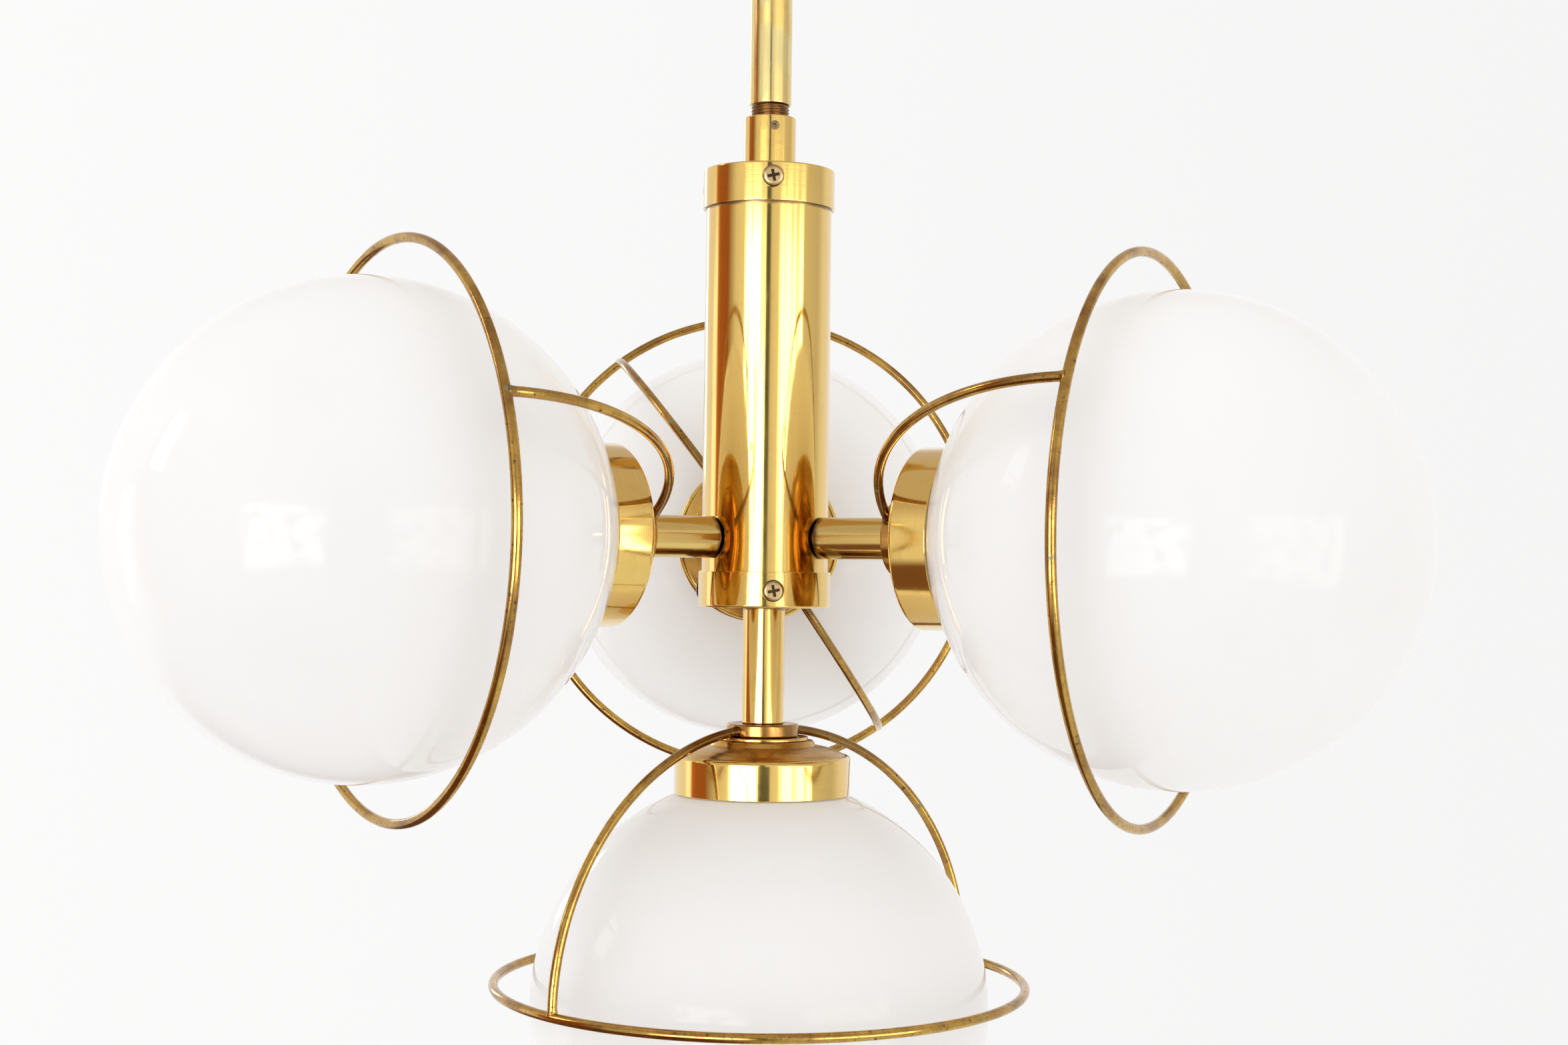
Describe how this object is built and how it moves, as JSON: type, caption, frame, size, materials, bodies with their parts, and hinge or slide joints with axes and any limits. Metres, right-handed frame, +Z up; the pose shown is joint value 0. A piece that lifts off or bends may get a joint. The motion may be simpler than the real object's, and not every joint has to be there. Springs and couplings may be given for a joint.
{
  "type": "multi arm chandelier",
  "caption": "Rod-hung brass chandelier: a central tube with side arms and a drop arm, each holding an opal glass globe in a wire and ring cage.",
  "frame": {"origin": "centre of the ceiling bracket's flat top, between its two screw holes, in the ceiling plane", "axes": "+Z up into the ceiling; +X to the right of the view from the front; the back lamp points along +Y"},
  "size_m": [0.5225, 0.4793, 0.8047],
  "materials": {
    "polished_brass": "polished, lightly lacquered tube",
    "aged_brass": "drawn wire, aged to brown with dark and green spots",
    "cup_brass": "spun, polished rim with an aged brown top",
    "dark_thread": "blackened screw thread",
    "screw_brass": "machine screw, dull",
    "zinc_steel": "zinc plated",
    "opal_glass": "blown opal glass, glossy",
    "bulb_glass": "frosted",
    "bulb_cap_metal": "rolled screw cap",
    "lampholder_plastic": "moulded thermoplastic",
    "connector_plastic": "moulded terminal connector",
    "lead_insulation": "smooth insulation"
  },
  "bodies": {
    "suspension": {"ceiling_bracket": "zinc_steel", "hanger_nipple": "zinc_steel", "hanger_lock_nut": "zinc_steel", "suspension_rod": "polished_brass", "threaded_neck": "dark_thread"},
    "canopy": {"ceiling_canopy": "polished_brass", "canopy_collar": "polished_brass", "canopy_grub_screw": "zinc_steel"},
    "fixture": {"coupling_collar": "polished_brass", "collar_set_screw": "zinc_steel", "body_nipple": "zinc_steel", "body_tube": "polished_brass", "body_top_cap": "polished_brass", "body_bottom_cap": "polished_brass", "top_cap_screws": "screw_brass", "bottom_cap_screws": "screw_brass", "lock_nuts": "zinc_steel", "connector_block": "connector_plastic", "supply_lead": "lead_insulation", "lamp_leads": "lead_insulation", "arm_tie_rods": "zinc_steel", "drop_tie_rod": "zinc_steel", "drop_tube": "polished_brass", "cage_washers": "aged_brass", "arm_tube_left": "polished_brass", "arm_tube_right": "polished_brass", "arm_tube_back": "polished_brass", "cage_hub_left": "aged_brass", "cage_wires_left": "aged_brass", "cage_ring_left": "aged_brass", "cup_left": "cup_brass", "lampholder_left": "lampholder_plastic", "cage_hub_right": "aged_brass", "cage_wires_right": "aged_brass", "cage_ring_right": "aged_brass", "cup_right": "cup_brass", "lampholder_right": "lampholder_plastic", "cage_hub_back": "aged_brass", "cage_wires_back": "aged_brass", "cage_ring_back": "aged_brass", "cup_back": "cup_brass", "lampholder_back": "lampholder_plastic", "cage_hub_drop": "aged_brass", "cage_wires_drop": "aged_brass", "cage_ring_drop": "aged_brass", "cup_drop": "cup_brass", "lampholder_drop": "lampholder_plastic"},
    "globe_left": {"globe_left": "opal_glass"},
    "bulb_left": {"bulb_glass_left": "bulb_glass", "bulb_cap_left": "bulb_cap_metal"},
    "globe_right": {"globe_right": "opal_glass"},
    "bulb_right": {"bulb_glass_right": "bulb_glass", "bulb_cap_right": "bulb_cap_metal"},
    "globe_back": {"globe_back": "opal_glass"},
    "bulb_back": {"bulb_glass_back": "bulb_glass", "bulb_cap_back": "bulb_cap_metal"},
    "globe_drop": {"globe_drop": "opal_glass"},
    "bulb_drop": {"bulb_glass_drop": "bulb_glass", "bulb_cap_drop": "bulb_cap_metal"}
  },
  "joints": [
    {"name": "canopy_slide", "type": "slide", "parent": "suspension", "child": "canopy", "axis": [0, 0, -1], "range_m": [0, 0.12]},
    {"name": "fixture_swivel", "type": "hinge", "parent": "suspension", "child": "fixture", "pos_m": [0, 0, -0.32], "axis": [0, 0, 1], "range_deg": [-165, 165]},
    {"name": "globe_left_out", "type": "slide", "parent": "fixture", "child": "globe_left", "axis": [-0.866, -0.5, 0], "range_m": [0, 0.125]},
    {"name": "bulb_left_out", "type": "slide", "parent": "fixture", "child": "bulb_left", "axis": [-0.866, -0.5, 0], "range_m": [0, 0.028]},
    {"name": "globe_right_out", "type": "slide", "parent": "fixture", "child": "globe_right", "axis": [0.866, -0.5, 0], "range_m": [0, 0.125]},
    {"name": "bulb_right_out", "type": "slide", "parent": "fixture", "child": "bulb_right", "axis": [0.866, -0.5, 0], "range_m": [0, 0.028]},
    {"name": "globe_back_out", "type": "slide", "parent": "fixture", "child": "globe_back", "axis": [0, 1, 0], "range_m": [0, 0.125]},
    {"name": "bulb_back_out", "type": "slide", "parent": "fixture", "child": "bulb_back", "axis": [0, 1, 0], "range_m": [0, 0.028]},
    {"name": "globe_drop_out", "type": "slide", "parent": "fixture", "child": "globe_drop", "axis": [0, 0, -1], "range_m": [0, 0.125]},
    {"name": "bulb_drop_out", "type": "slide", "parent": "fixture", "child": "bulb_drop", "axis": [0, 0, -1], "range_m": [0, 0.028]}
  ]
}
